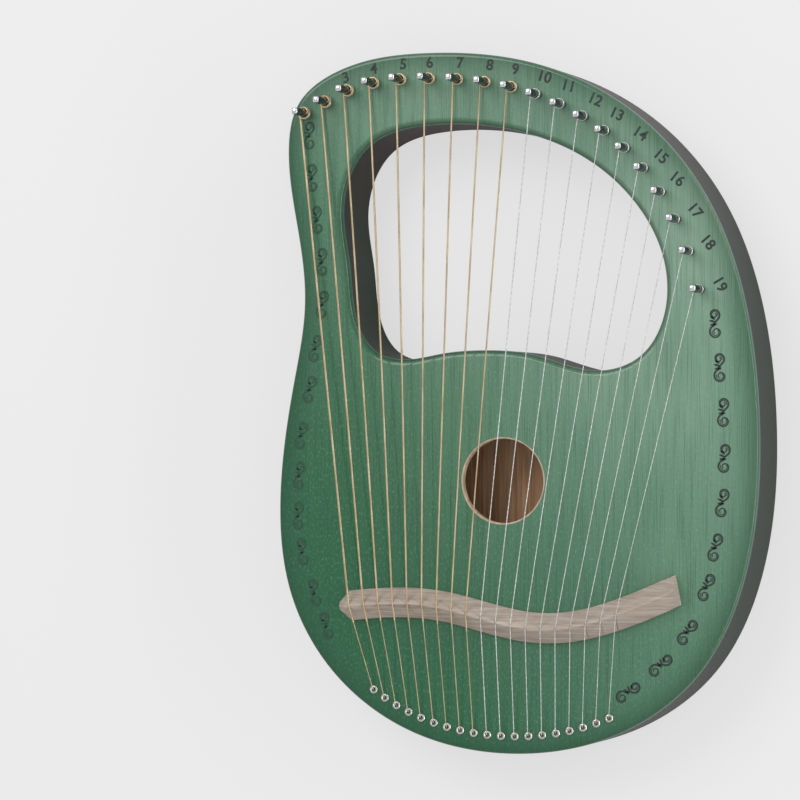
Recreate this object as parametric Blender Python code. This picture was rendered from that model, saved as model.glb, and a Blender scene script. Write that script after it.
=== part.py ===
"""A nineteen-string lyre harp with a hollow box body, lying on its back.

The soundboard faces +Z, the arch that carries the tuning pins is towards +Y and the
longest bass string is on the -X side. The origin is under the middle of the back board.
"""

import math

import bmesh
import bpy
import numpy as np

# Overall body
BODY_LENGTH = 0.434
BODY_WIDTH = 0.310
BODY_DEPTH = 0.048
LEFT_ARM_WIDTH = 0.0415
RIGHT_ARM_WIDTH = 0.058
ARCH_DEPTH = 0.045
WINDOW_SHARE = 0.3525
WINDOW_LENGTH = WINDOW_SHARE * BODY_LENGTH

# Plates and frame
SOUNDBOARD_THICKNESS = 0.0045
BACK_BOARD_THICKNESS = 0.004
EDGE_ROUND = 0.0025
BACK_EDGE_ROUND = 0.002
WINDOW_ROUND = 0.004
RIB_THICKNESS = 0.008
RAIL_DEPTH = 0.013
TAIL_DEPTH = 0.027
TAIL_REACH = 0.052
JOINT_GAP = 0.0003

# Sound hole and braces
SOUND_HOLE_DIAMETER = 0.052
SOUND_HOLE_TO_WINDOW = 0.052
SOUND_HOLE_SIDE = -0.0065
BRACE_WIDTH = 0.009
BRACE_HEIGHT = 0.012
BRACE_END_HEIGHT = 0.004
BRACE_SCALLOP = 0.030
BRACE_HOLE_MARGIN = 0.010
BACK_BRACE_HEIGHT = 0.009

# Strings, bass first
STRING_COUNT = 19
WOUND_STRINGS = 9
WOUND_RADIUS_FIRST = 0.00080
WOUND_RADIUS_LAST = 0.00055
WOUND_CORE_RADIUS = 0.00030
PLAIN_RADIUS_FIRST = 0.00032
PLAIN_RADIUS_LAST = 0.00022
BALL_RADIUS = 0.0019
BALL_LENGTH = 0.0031

# Bridge
BRIDGE_WIDTH = 0.0185
BRIDGE_HEIGHT = 0.0125
BRIDGE_SIDE_HEIGHT = 0.0030
BRIDGE_RIDGE_WIDTH = 0.0014
BRIDGE_TO_TAIL = 0.089
BRIDGE_STRING_PITCH = 0.0096
BRIDGE_FIRST_STRING = 0.052
BRIDGE_BASS_OVERHANG = 0.0025
BRIDGE_TREBLE_OVERHANG = 0.036
BRIDGE_TIP = 0.008
BRIDGE_TIP_HEIGHT = 0.0022

# Tuning pins
PIN_DIAMETER = 0.005
PIN_EXPOSED = 0.021
PIN_BURIED = 0.022
PIN_SQUARE = 0.0040
PIN_SQUARE_LENGTH = 0.0075
PIN_FIRST_SHARE = 0.0764
PIN_LAST_SHARE = -0.2164
PIN_EDGE = [(0.00, 0.0085), (0.06, 0.0150), (0.70, 0.0195), (1.00, 0.0240)]
PIN_TREBLE_SPREAD = 0.4
COIL_TURNS = 2.5
COIL_GAP = 0.0005
COIL_CLEARANCE = 0.00015
WOUND_EXIT_HEIGHT = 0.0025
PLAIN_EXIT_HEIGHT = 0.0060

# Eyelets at the tail
EYELET_PITCH = 0.0089
EYELET_MIDDLE_FROM_LEFT = 0.139
EYELET_EDGE = 0.0110
EYELET_FLANGE_RADIUS = 0.0025
EYELET_FLANGE_HEIGHT = 0.0008
EYELET_TUBE_RADIUS = 0.0017
EYELET_BORE_RADIUS = 0.0010
BALL_RECESS_RADIUS = 0.0030

# Running clearances
CLEARANCE = 0.0003
SWEEP_CLEARANCE = 0.0004

# Outline of the body as shares of its width and length, from the top round by the bass side
BODY_SHAPE = [
    (-0.194, 0.500), (-0.365, 0.482), (-0.465, 0.431), (-0.485, 0.364), (-0.465, 0.253),
    (-0.448, 0.143), (-0.471, 0.028), (-0.500, -0.143), (-0.477, -0.276), (-0.394, -0.382),
    (-0.232, -0.468), (0.010, -0.500), (0.216, -0.468), (0.381, -0.380), (0.470, -0.249),
    (0.500, -0.032), (0.474, 0.129), (0.397, 0.281), (0.252, 0.403), (0.026, 0.483),
]

# Outline of the window as shares of its own width and length
WINDOW_SHAPE = [
    (-0.500, 0.174), (-0.480, -0.069), (-0.455, -0.299), (-0.399, -0.416), (-0.313, -0.453),
    (-0.189, -0.430), (-0.056, -0.417), (0.096, -0.436), (0.286, -0.500), (0.420, -0.443),
    (0.490, -0.286), (0.490, -0.063), (0.400, 0.174), (0.210, 0.383), (-0.009, 0.482),
    (-0.246, 0.498), (-0.423, 0.416),
]

# The wavy ridge of the bridge: share of its length from the bass end, and metres across it
BRIDGE_WAVE = [
    (0.00, 0.0005), (0.14, 0.0029), (0.29, 0.0010), (0.42, -0.0052), (0.56, -0.0107),
    (0.68, -0.0098), (0.80, -0.0035), (1.00, 0.0137),
]

OUTLINE_POINTS = 84
WINDOW_POINTS = 60
HOLE_POINTS = 36
STRING_HOLE_SIDES = 8
PIN_SIDES = 10
COIL_POINTS_PER_TURN = 8
STRING_SIDES = 6

SOUNDBOARD_TOP = BODY_DEPTH
SOUNDBOARD_UNDER = BODY_DEPTH - SOUNDBOARD_THICKNESS
FRAME_TOP = SOUNDBOARD_UNDER - JOINT_GAP
FRAME_BOTTOM = BACK_BOARD_THICKNESS + JOINT_GAP

FINISHES = {
    "stained_face": ((0.09, 0.30, 0.20), 0.25, 0.0),
    "stained_side": ((0.10, 0.12, 0.10), 0.30, 0.0),
    "bare_wood": ((0.36, 0.19, 0.10), 0.60, 0.0),
    "maple": ((0.55, 0.38, 0.29), 0.50, 0.0),
    "pin_steel": ((0.32, 0.32, 0.35), 0.22, 1.0),
    "wound_bronze": ((0.66, 0.48, 0.27), 0.35, 1.0),
    "plain_steel": ((0.60, 0.61, 0.62), 0.25, 1.0),
}


def clear_scene():
    for obj in list(bpy.data.objects):
        bpy.data.objects.remove(obj, do_unlink=True)


def material(name):
    found = bpy.data.materials.get(name)
    if found:
        return found
    colour, roughness, metallic = FINISHES[name]
    made = bpy.data.materials.new(name)
    made.use_nodes = True
    shader = made.node_tree.nodes["Principled BSDF"]
    shader.inputs["Base Color"].default_value = (*colour, 1.0)
    shader.inputs["Roughness"].default_value = roughness
    shader.inputs["Metallic"].default_value = metallic
    return made


# Plan curves, as arrays of points in plan
def spline_slopes(points, step, closed):
    """Slope of a cubic spline at each of its points, so that its curvature runs on smoothly."""
    count = len(points)
    system = np.zeros((count, count))
    right = np.zeros((count, 2))
    for i in range(count):
        if not closed and i in (0, count - 1):
            other = 1 if i == 0 else count - 2
            near = 0 if i == 0 else count - 2
            system[i, i] = 2.0
            system[i, other] = 1.0
            right[i] = 3.0 * (points[near + 1] - points[near]) / step[near]
            continue
        before, after = step[i - 1], step[i]
        onward = (i + 1) % count
        system[i, i - 1] += after
        system[i, i] += 2.0 * (before + after)
        system[i, onward] += before
        right[i] = 3.0 * (
            after * (points[i] - points[i - 1]) / before
            + before * (points[onward] - points[i]) / after
        )
    return np.linalg.solve(system, right)


def spline(points, count, closed=True):
    """Evenly spaced points on the smooth curve through a few given ones."""
    points = np.asarray(points, float)
    onward = np.roll(points, -1, axis=0)
    spans = len(points) if closed else len(points) - 1
    step = np.linalg.norm(onward - points, axis=1)[:spans]
    slope = spline_slopes(points, step, closed)
    fine = []
    for i in range(spans):
        j = (i + 1) % len(points)
        t = (np.arange(60) / 60)[:, None]
        fine.append(
            (2 * t**3 - 3 * t**2 + 1) * points[i] + (t**3 - 2 * t**2 + t) * step[i] * slope[i]
            + (3 * t**2 - 2 * t**3) * points[j] + (t**3 - t**2) * step[i] * slope[j]
        )
    end = points[:1] if closed else points[-1:]
    return respaced(np.vstack([*fine, end]), count, closed)


def respaced(line, count, closed):
    """The same line with its points at equal distances. A closed line ends where it starts."""
    run = np.concatenate([[0.0], np.cumsum(np.linalg.norm(np.diff(line, axis=0), axis=1))])
    wanted = np.linspace(0.0, run[-1], count, endpoint=not closed)
    return np.stack([np.interp(wanted, run, line[:, k]) for k in (0, 1)], axis=1)


def inset(loop, distance):
    """A closed loop moved inwards by a distance."""
    tangent = np.roll(loop, -1, axis=0) - np.roll(loop, 1, axis=0)
    tangent /= np.linalg.norm(tangent, axis=1)[:, None]
    normal = np.stack([-tangent[:, 1], tangent[:, 0]], axis=1)
    onward = np.roll(loop, -1, axis=0)
    turning = np.sign(np.sum(loop[:, 0] * onward[:, 1] - onward[:, 0] * loop[:, 1]))
    return loop + normal * distance * turning


def at_share(loop, share):
    """The point a share of the way round a closed loop of evenly spaced points."""
    place = share * len(loop)
    i = int(math.floor(place))
    part = place - i
    return loop[i % len(loop)] * (1 - part) + loop[(i + 1) % len(loop)] * part


def crossing(loop, y, side):
    """x where a loop crosses a level y, on its left side (-1) or its right side (1)."""
    onward = np.roll(loop, -1, axis=0)
    found = []
    for a, b in zip(loop, onward):
        if (a[1] - y) * (b[1] - y) <= 0 and a[1] != b[1]:
            found.append(a[0] + (b[0] - a[0]) * (y - a[1]) / (b[1] - a[1]))
    return max(found) if side > 0 else min(found)


def lower_edge(loop, x):
    """Lowest y of a loop at a given x."""
    onward = np.roll(loop, -1, axis=0)
    found = []
    for a, b in zip(loop, onward):
        if (a[0] - x) * (b[0] - x) <= 0 and a[0] != b[0]:
            found.append(a[1] + (b[1] - a[1]) * (x - a[0]) / (b[0] - a[0]))
    return min(found)


BODY = spline([(x * BODY_WIDTH, y * BODY_LENGTH) for x, y in BODY_SHAPE], OUTLINE_POINTS)
WINDOW_WIDTH = BODY_WIDTH - LEFT_ARM_WIDTH - RIGHT_ARM_WIDTH
WINDOW_X = -BODY_WIDTH / 2 + LEFT_ARM_WIDTH + WINDOW_WIDTH / 2
WINDOW_Y = BODY_LENGTH / 2 - ARCH_DEPTH - WINDOW_LENGTH / 2
WINDOW = spline(
    [(WINDOW_X + x * WINDOW_WIDTH, WINDOW_Y + y * WINDOW_LENGTH) for x, y in WINDOW_SHAPE],
    WINDOW_POINTS,
)
WINDOW_BOTTOM = WINDOW_Y - WINDOW_LENGTH / 2
SOUND_HOLE = (
    SOUND_HOLE_SIDE,
    WINDOW_BOTTOM - SOUND_HOLE_TO_WINDOW - SOUND_HOLE_DIAMETER / 2 + 0.01,
)


# Solids
def object_of(name, mesh, finish):
    obj = bpy.data.objects.new(name, mesh)
    bpy.context.scene.collection.objects.link(obj)
    if finish:
        mesh.materials.clear()
        mesh.materials.append(material(finish))
    return obj


def shade(obj, angle=40):
    obj.data.shade_smooth()
    obj.data.set_sharp_from_angle(angle=math.radians(angle))


def loft(name, rings, finish=None):
    """A closed solid through rings of equally many points, capped at both ends."""
    mesh = bmesh.new()
    made = [[mesh.verts.new(point) for point in ring] for ring in rings]
    count = len(rings[0])
    for low, high in zip(made, made[1:]):
        for i in range(count):
            j = (i + 1) % count
            mesh.faces.new((low[i], low[j], high[j], high[i]))
    mesh.faces.new(made[0][::-1])
    mesh.faces.new(made[-1])
    bmesh.ops.recalc_face_normals(mesh, faces=mesh.faces)
    data = bpy.data.meshes.new(name)
    mesh.to_mesh(data)
    mesh.free()
    return object_of(name, data, finish)


def at_height(loop, z):
    return [(x, y, z) for x, y in loop]


def circle(x, y, radius, count, turn=0.0):
    angles = [turn + 2 * math.pi * i / count for i in range(count)]
    return [(x + radius * math.cos(a), y + radius * math.sin(a)) for a in angles]


def turned(name, x, y, profile, count, finish=None):
    """A solid turned about a vertical line, from (radius, z) pairs, bottom first."""
    return loft(name, [at_height(circle(x, y, r, count), z) for r, z in profile], finish)


def prism(name, outline, low, high, finish=None):
    return loft(name, [at_height(outline, low), at_height(outline, high)], finish)


def joined(name, objects):
    """Several separate shapes as one mesh, for use as a cutter or to be united."""
    mesh = bmesh.new()
    for obj in objects:
        mesh.from_mesh(obj.data)
        bpy.data.objects.remove(obj, do_unlink=True)
    data = bpy.data.meshes.new(name)
    mesh.to_mesh(data)
    mesh.free()
    return object_of(name, data, None)


def combined(obj, other, operation):
    """Applies one Boolean and removes the shape that it used."""
    cut = obj.modifiers.new(operation.lower(), "BOOLEAN")
    cut.operation = operation
    cut.solver = "EXACT"
    cut.object = other
    graph = bpy.context.evaluated_depsgraph_get()
    result = bpy.data.meshes.new_from_object(obj.evaluated_get(graph))
    finish = obj.data.materials[0] if obj.data.materials else None
    obj.modifiers.clear()
    obj.data = result
    result.materials.clear()
    if finish:
        result.materials.append(finish)
    bpy.data.objects.remove(other, do_unlink=True)
    return obj


def cut_by(obj, other):
    return combined(obj, other, "DIFFERENCE")


def round_rings(loop, edge_z, radius, outward, steps=2):
    """Rings of a quarter round that ends at edge_z. outward is 1 where the solid is inside."""
    rings = []
    for k in range(steps + 1):
        angle = 0.5 * math.pi * k / steps
        side = radius * (1 - math.cos(angle)) * outward
        rings.append(at_height(inset(loop, side), edge_z - radius * (1 - math.sin(angle))))
    return rings


# Places of strings, pins and eyelets
BRIDGE_START = -BODY_WIDTH / 2 + BRIDGE_FIRST_STRING - BRIDGE_BASS_OVERHANG
BRIDGE_LENGTH = (
    (STRING_COUNT - 1) * BRIDGE_STRING_PITCH + BRIDGE_BASS_OVERHANG + BRIDGE_TREBLE_OVERHANG
)
BRIDGE_BASE = SOUNDBOARD_TOP + CLEARANCE
BRIDGE_TOP = BRIDGE_BASE + BRIDGE_HEIGHT
FLANGE_TOP = SOUNDBOARD_TOP + CLEARANCE + EYELET_FLANGE_HEIGHT


def bridge_line(count):
    middle = -BODY_LENGTH / 2 + BRIDGE_TO_TAIL
    points = [(BRIDGE_START + a * BRIDGE_LENGTH, middle + across) for a, across in BRIDGE_WAVE]
    return spline(points, count, closed=False)


def is_wound(i):
    return i < WOUND_STRINGS


def string_radius(i):
    """Radius of a string above the bridge: each group tapers from its lowest note up."""
    if is_wound(i):
        share = i / (WOUND_STRINGS - 1)
        return WOUND_RADIUS_FIRST + share * (WOUND_RADIUS_LAST - WOUND_RADIUS_FIRST)
    share = (i - WOUND_STRINGS) / (STRING_COUNT - WOUND_STRINGS - 1)
    return PLAIN_RADIUS_FIRST + share * (PLAIN_RADIUS_LAST - PLAIN_RADIUS_FIRST)


def core_radius(i):
    """A wound string runs on as its bare core below the bridge."""
    return WOUND_CORE_RADIUS if is_wound(i) else string_radius(i)


def pin_place(i):
    """A tuning pin's place, on a row that drifts inwards and spreads out towards the treble."""
    even = i / (STRING_COUNT - 1)
    share = even - PIN_TREBLE_SPREAD * even**4 * (1 - even)
    edge = float(np.interp(share, *zip(*PIN_EDGE)))
    round_share = PIN_FIRST_SHARE + share * (PIN_LAST_SHARE - PIN_FIRST_SHARE)
    return at_share(inset(BODY, edge), round_share)


def eyelet_place(i):
    """An eyelet's place, on a row parallel to the tail edge."""
    row = inset(BODY, EYELET_EDGE)
    row = row[row[:, 1] < -BODY_LENGTH / 4]
    run = np.concatenate([[0.0], np.cumsum(np.linalg.norm(np.diff(row, axis=0), axis=1))])
    middle = np.interp(EYELET_MIDDLE_FROM_LEFT - BODY_WIDTH / 2, row[:, 0], run)
    place = middle + (i - (STRING_COUNT - 1) / 2) * EYELET_PITCH
    return np.array([np.interp(place, run, row[:, k]) for k in (0, 1)])


def bridge_place(i):
    line = bridge_line(120)
    x = -BODY_WIDTH / 2 + BRIDGE_FIRST_STRING + i * BRIDGE_STRING_PITCH
    return np.array([x, np.interp(x, line[:, 0], line[:, 1])])


def exit_height(i):
    return SOUNDBOARD_TOP + (WOUND_EXIT_HEIGHT if is_wound(i) else PLAIN_EXIT_HEIGHT)


def coil_radius(i):
    """Radius of the coil's centre line, with its straight facets clear of the pin."""
    touching = PIN_DIAMETER / 2 + COIL_CLEARANCE + string_radius(i)
    return touching / math.cos(math.pi / COIL_POINTS_PER_TURN)


def tangent(i):
    """Where the string leaves its coil, on the bass side, and the direction it comes from."""
    pin, bridge = pin_place(i), bridge_place(i)
    run = pin - bridge
    reach = float(np.linalg.norm(run))
    swing = math.asin(coil_radius(i) / reach)
    ahead = run / reach
    ahead = np.array([
        ahead[0] * math.cos(swing) - ahead[1] * math.sin(swing),
        ahead[0] * math.sin(swing) + ahead[1] * math.cos(swing),
    ])
    return bridge + ahead * reach * math.cos(swing), ahead


# Wires
def wire(name, points, radii, finish):
    """A round wire along straight runs between points, with a radius at each."""
    curve = bpy.data.curves.new(name, "CURVE")
    curve.dimensions = "3D"
    curve.twist_mode = "MINIMUM"
    curve.bevel_depth = max(radii)
    curve.bevel_resolution = (STRING_SIDES - 4) // 2
    curve.use_fill_caps = True
    line = curve.splines.new("POLY")
    line.points.add(len(points) - 1)
    for point, place, radius in zip(line.points, points, radii):
        point.co = (*place, 1.0)
        point.radius = radius / curve.bevel_depth
    obj = bpy.data.objects.new(name, curve)
    bpy.context.scene.collection.objects.link(obj)
    curve.materials.append(material(finish))
    return obj


def solid_wire(name, points, radii, finish):
    """The same wire as a mesh, for joining to another solid."""
    obj = wire(name, points, radii, finish)
    bpy.context.view_layer.update()
    graph = bpy.context.evaluated_depsgraph_get()
    data = bpy.data.meshes.new_from_object(obj.evaluated_get(graph))
    curve = obj.data
    bpy.data.objects.remove(obj, do_unlink=True)
    bpy.data.curves.remove(curve)
    mesh = bmesh.new()
    mesh.from_mesh(data)
    bmesh.ops.remove_doubles(mesh, verts=mesh.verts, dist=1e-6)
    bmesh.ops.recalc_face_normals(mesh, faces=mesh.faces)
    mesh.to_mesh(data)
    mesh.free()
    return object_of(name, data, None)


def least_gap(points, radius, apart):
    """The smallest gap between a coil's turns, from the points of its centre line."""
    points = np.asarray(points)
    gaps = [
        float(np.linalg.norm(points[i + apart:] - points[i], axis=1).min()) - 2 * radius
        for i in range(len(points) - apart)
    ]
    return min(gaps)


# The pieces
def make_plate(name, low, high, top_round, under_round, window_round, finish):
    """A board over the whole outline, with the window cut through it."""
    rings = [at_height(inset(BODY, under_round), low)]
    if under_round:
        rings.append(at_height(BODY, low + under_round))
    rings += round_rings(BODY, high, top_round, 1) if top_round else [at_height(BODY, high)]
    plate = loft(name, rings, finish)
    window = [at_height(WINDOW, low - 0.01)]
    if window_round:
        window += round_rings(WINDOW, high, window_round, -1)
        window.append(at_height(inset(WINDOW, -window_round), high + 0.01))
    else:
        window.append(at_height(WINDOW, high + 0.01))
    return cut_by(plate, loft("window_cut", window))


def hole_row(name, place, radius, low, high, sides):
    holes = [
        prism(f"{name}_{i}", circle(*place(i), radius, sides), low, high)
        for i in range(STRING_COUNT)
    ]
    return joined(name, holes)


def make_soundboard():
    board = make_plate(
        "soundboard", SOUNDBOARD_UNDER, SOUNDBOARD_TOP, EDGE_ROUND, 0.0, WINDOW_ROUND, "stained_face"
    )
    low, high = SOUNDBOARD_UNDER - 0.01, SOUNDBOARD_TOP + 0.01
    cut_by(board, prism("hole", circle(*SOUND_HOLE, SOUND_HOLE_DIAMETER / 2, HOLE_POINTS), low, high))
    pin_hole = PIN_DIAMETER / 2 + CLEARANCE
    cut_by(board, hole_row("pin_holes", pin_place, pin_hole, low, high, PIN_SIDES))
    tube_hole = EYELET_TUBE_RADIUS + CLEARANCE
    cut_by(board, hole_row("tube_holes", eyelet_place, tube_hole, low, high, STRING_HOLE_SIDES))
    shade(board)


def make_back_board():
    board = make_plate(
        "back_board", 0.0, BACK_BOARD_THICKNESS, 0.0, BACK_EDGE_ROUND, 0.0, "stained_side"
    )
    high = BACK_BOARD_THICKNESS + 0.01
    cut_by(board, hole_row("recesses", eyelet_place, BALL_RECESS_RADIUS, -0.01, high, STRING_HOLE_SIDES))
    shade(board)


# Stations of the frame: where its wooden pieces are glued to each other
PIN_BLOCK_LEFT_END = pin_place(0)[1] - 0.065
PIN_BLOCK_RIGHT_END = pin_place(STRING_COUNT - 1)[1] - 0.022
RAIL_LEFT_END = WINDOW_X - WINDOW_WIDTH / 2 + 0.027
RAIL_RIGHT_END = WINDOW_X + WINDOW_WIDTH / 2 - 0.015
LEFT_FOOT = WINDOW_BOTTOM - 0.010
RIGHT_FOOT = WINDOW_BOTTOM - 0.017
FOOT_LAP = 0.006
TAIL_TOP = -BODY_LENGTH / 2 + TAIL_REACH


def chamber_outline():
    """The hollow inside the lower body, anticlockwise from the foot of the bass arm."""
    rib = inset(BODY, RIB_THICKNESS)
    tail = inset(BODY, TAIL_DEPTH)
    level = TAIL_TOP + FOOT_LAP
    left = rib[(rib[:, 0] < 0) & (rib[:, 1] < LEFT_FOOT) & (rib[:, 1] > level)]
    bottom = tail[tail[:, 1] < TAIL_TOP]
    right = rib[(rib[:, 0] > 0) & (rib[:, 1] < RIGHT_FOOT) & (rib[:, 1] > level)]
    left_corner = (crossing(rib, LEFT_FOOT, -1), LEFT_FOOT)
    right_corner = (crossing(rib, RIGHT_FOOT, 1), RIGHT_FOOT)
    rail_places = np.linspace(RAIL_RIGHT_END, RAIL_LEFT_END, 14)
    under_rail = [(x, lower_edge(WINDOW, x) - RAIL_DEPTH) for x in rail_places]
    # The outline's start may split a side, so each side is put in order by its height.
    right = right[np.argsort(right[:, 1])]
    left = left[np.argsort(-left[:, 1])]
    return [
        left_corner, *map(tuple, left), *map(tuple, bottom), *map(tuple, right), right_corner,
        *under_rail,
    ]


def frame_piece(name, region, finish="stained_side"):
    """One glued-up piece of the frame: the part of the whole ring inside a region in plan."""
    piece = prism(name, BODY, FRAME_BOTTOM, FRAME_TOP, finish)
    cut_by(piece, prism("window_cut", WINDOW, FRAME_BOTTOM - 0.01, FRAME_TOP + 0.01))
    cut_by(piece, prism("chamber", chamber_outline(), FRAME_BOTTOM - 0.01, FRAME_TOP + 0.01))
    combined(piece, prism("region", region, FRAME_BOTTOM - 0.02, FRAME_TOP + 0.02), "INTERSECT")
    shade(piece)
    return piece


def make_frame():
    far = BODY_WIDTH
    tall = BODY_LENGTH
    half = JOINT_GAP / 2
    left_top, right_top = PIN_BLOCK_LEFT_END, PIN_BLOCK_RIGHT_END
    left_foot, right_foot = LEFT_FOOT - FOOT_LAP, RIGHT_FOOT - FOOT_LAP
    middle = WINDOW_X
    block = frame_piece("pin_block", [
        (-far, left_top + half), (middle, left_top + half), (middle, right_top + half),
        (far, right_top + half), (far, tall), (-far, tall),
    ])
    pin_low = SOUNDBOARD_UNDER - PIN_BURIED - CLEARANCE
    pin_hole = PIN_DIAMETER / 2 + CLEARANCE
    cut_by(block, hole_row("pin_holes", pin_place, pin_hole, pin_low, FRAME_TOP + 0.01, PIN_SIDES))
    shade(block)

    def rectangle(x_low, x_high, y_low, y_high):
        return [(x_low, y_low), (x_high, y_low), (x_high, y_high), (x_low, y_high)]

    frame_piece("left_arm", rectangle(-far, RAIL_LEFT_END - half, left_foot + half, left_top - half))
    frame_piece("right_arm", rectangle(RAIL_RIGHT_END + half, far, right_foot + half, right_top - half))
    frame_piece("window_rail", rectangle(
        RAIL_LEFT_END + half, RAIL_RIGHT_END - half, WINDOW_BOTTOM - 2 * RAIL_DEPTH, WINDOW_Y
    ))
    frame_piece("left_rib", rectangle(-far, 0.0, TAIL_TOP + half, left_foot - half))
    frame_piece("right_rib", rectangle(0.0, far, TAIL_TOP + half, right_foot - half))
    make_tail(rectangle(-far, far, -tall, TAIL_TOP - half))


def make_tail(region):
    """The tail block, with the flanged eyelets that line its string holes."""
    block = frame_piece("tail_block", region)
    profile = [
        (EYELET_TUBE_RADIUS, FRAME_TOP - 0.003),
        (EYELET_TUBE_RADIUS, SOUNDBOARD_TOP + CLEARANCE),
        (EYELET_FLANGE_RADIUS, SOUNDBOARD_TOP + CLEARANCE),
        (EYELET_FLANGE_RADIUS, FLANGE_TOP - EYELET_FLANGE_HEIGHT / 2),
        (EYELET_FLANGE_RADIUS - EYELET_FLANGE_HEIGHT / 2, FLANGE_TOP),
    ]
    eyelets = [
        turned(f"eyelet_{i}", *eyelet_place(i), profile, STRING_HOLE_SIDES)
        for i in range(STRING_COUNT)
    ]
    combined(block, joined("eyelets", eyelets), "UNION")
    cut_by(block, hole_row(
        "bores", eyelet_place, EYELET_BORE_RADIUS, FRAME_BOTTOM - 0.01, FLANGE_TOP + 0.01,
        STRING_HOLE_SIDES,
    ))
    shade(block)


def make_brace(name, y, seat, height, upward):
    """A bar across the box, rounded along its free edge and thinned towards both ends."""
    rib = inset(BODY, RIB_THICKNESS)
    edges = (y - BRACE_WIDTH / 2, y + BRACE_WIDTH / 2)
    left = max(crossing(rib, edge, -1) for edge in edges) + CLEARANCE
    right = min(crossing(rib, edge, 1) for edge in edges) - CLEARANCE
    rings = []
    for share in (0.0, 0.3, 0.65, 1.0, -1.0, -0.65, -0.3, 0.0):
        x = left + share * BRACE_SCALLOP if len(rings) < 4 else right + share * BRACE_SCALLOP
        ease = math.sin(0.5 * math.pi * abs(share)) ** 2
        tall = BRACE_END_HEIGHT + ease * (height - BRACE_END_HEIGHT)
        half = BRACE_WIDTH / 2
        section = [
            (-half, 0.0), (half, 0.0), (half, 0.45 * tall), (0.55 * half, 0.9 * tall), (0.0, tall),
            (-0.55 * half, 0.9 * tall), (-half, 0.45 * tall),
        ]
        rings.append([(x, y + across, seat + upward * up) for across, up in section])
    shade(loft(name, rings, "bare_wood"))


def make_braces():
    under = SOUNDBOARD_UNDER - CLEARANCE
    floor = BACK_BOARD_THICKNESS + CLEARANCE
    away = SOUND_HOLE_DIAMETER / 2 + BRACE_HOLE_MARGIN + BRACE_WIDTH / 2
    hole_y = SOUND_HOLE[1]
    make_brace("upper_soundboard_brace", hole_y + away, under, BRACE_HEIGHT, -1)
    make_brace("lower_soundboard_brace", hole_y - away, under, BRACE_HEIGHT, -1)
    make_brace("upper_back_brace", hole_y + away, floor, BACK_BRACE_HEIGHT, 1)
    make_brace("lower_back_brace", hole_y - away - BRACE_WIDTH, floor, BACK_BRACE_HEIGHT, 1)


def bridge_section(place, across, half, height, side):
    top = BRIDGE_RIDGE_WIDTH / 2
    shape = [(-half, 0.0), (half, 0.0), (half, side), (top, height), (-top, height), (-half, side)]
    return [
        (place[0] + across[0] * s, place[1] + across[1] * s, BRIDGE_BASE + up) for s, up in shape
    ]


def make_bridge():
    """A wavy, roof-shaped bar with a pointed bass end and a slot for each string."""
    line = bridge_line(26)
    ahead = np.gradient(line, axis=0)
    ahead /= np.linalg.norm(ahead, axis=1)[:, None]
    across = np.stack([-ahead[:, 1], ahead[:, 0]], axis=1)
    across[-1] = (-0.20, 0.98)
    half = BRIDGE_WIDTH / 2
    tip = line[0] - ahead[0] * BRIDGE_TIP
    rings = [bridge_section(tip, across[0], 0.3 * half, BRIDGE_TIP_HEIGHT, 0.6 * BRIDGE_TIP_HEIGHT)]
    for place, sideways in zip(line, across):
        rings.append(bridge_section(place, sideways, half, BRIDGE_HEIGHT, BRIDGE_SIDE_HEIGHT))
    bridge = loft("bridge", rings, "maple")
    cut_by(bridge, joined("slots", [make_slot(i) for i in range(STRING_COUNT)]))
    shade(bridge, 30)


def make_slot(i):
    """A flared slot across the ridge, along the mean direction of its string."""
    place = bridge_place(i)
    above, below = pin_place(i) - place, eyelet_place(i) - place
    ahead = above / np.linalg.norm(above) - below / np.linalg.norm(below)
    ahead /= np.linalg.norm(ahead)
    side = np.array([-ahead[1], ahead[0]])
    floor = string_radius(i) + CLEARANCE
    opening = floor + 0.4 * floor
    shape = [(-floor, -floor), (floor, -floor), (opening, floor), (-opening, floor)]
    rings = []
    for along in (-0.007, 0.007):
        at = place + ahead * along
        rings.append([
            (at[0] + side[0] * s, at[1] + side[1] * s, BRIDGE_TOP + up) for s, up in shape
        ])
    return loft(f"slot_{i}", rings)


def make_string(i):
    """A string from just short of its coil, over the bridge and down its eyelet to its ball end."""
    radius, core = string_radius(i), core_radius(i)
    touch, ahead = tangent(i)
    outer = coil_radius(i) + radius + SWEEP_CLEARANCE
    short = math.sqrt(outer**2 - (coil_radius(i) - radius) ** 2)
    start = touch - ahead * short
    bridge, eyelet = bridge_place(i), eyelet_place(i)
    to_eyelet = eyelet - bridge
    reach = float(np.linalg.norm(to_eyelet))
    to_eyelet /= reach
    mouth = FLANGE_TOP + core + CLEARANCE + 0.0002
    fall = (BRIDGE_TOP - mouth) / reach
    rise = (exit_height(i) - BRIDGE_TOP) / float(np.linalg.norm(start - bridge))

    def before_eyelet(distance):
        return (*(eyelet - to_eyelet * distance), mouth + fall * distance)

    bared = BRIDGE_WIDTH / 2 + 0.002
    ball_top = BACK_BOARD_THICKNESS - 0.00005
    points = [
        (*start, BRIDGE_TOP + rise * float(np.linalg.norm(start - bridge))),
        (*bridge, BRIDGE_TOP),
        before_eyelet(reach - bared),
        before_eyelet(reach - bared - 0.001),
        before_eyelet(EYELET_BORE_RADIUS * 0.8),
        (*(eyelet - to_eyelet * EYELET_BORE_RADIUS * 0.2), mouth - 0.0003),
        (*eyelet, mouth - 0.0012),
        (*eyelet, ball_top + 0.0002),
        (*eyelet, ball_top),
        (*eyelet, ball_top - BALL_LENGTH),
    ]
    radii = [radius, radius, radius, core, core, core, core, core, BALL_RADIUS, BALL_RADIUS]
    finish = "wound_bronze" if is_wound(i) else "plain_steel"
    wire(f"string_{i + 1:02d}", points, radii, finish)


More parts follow.
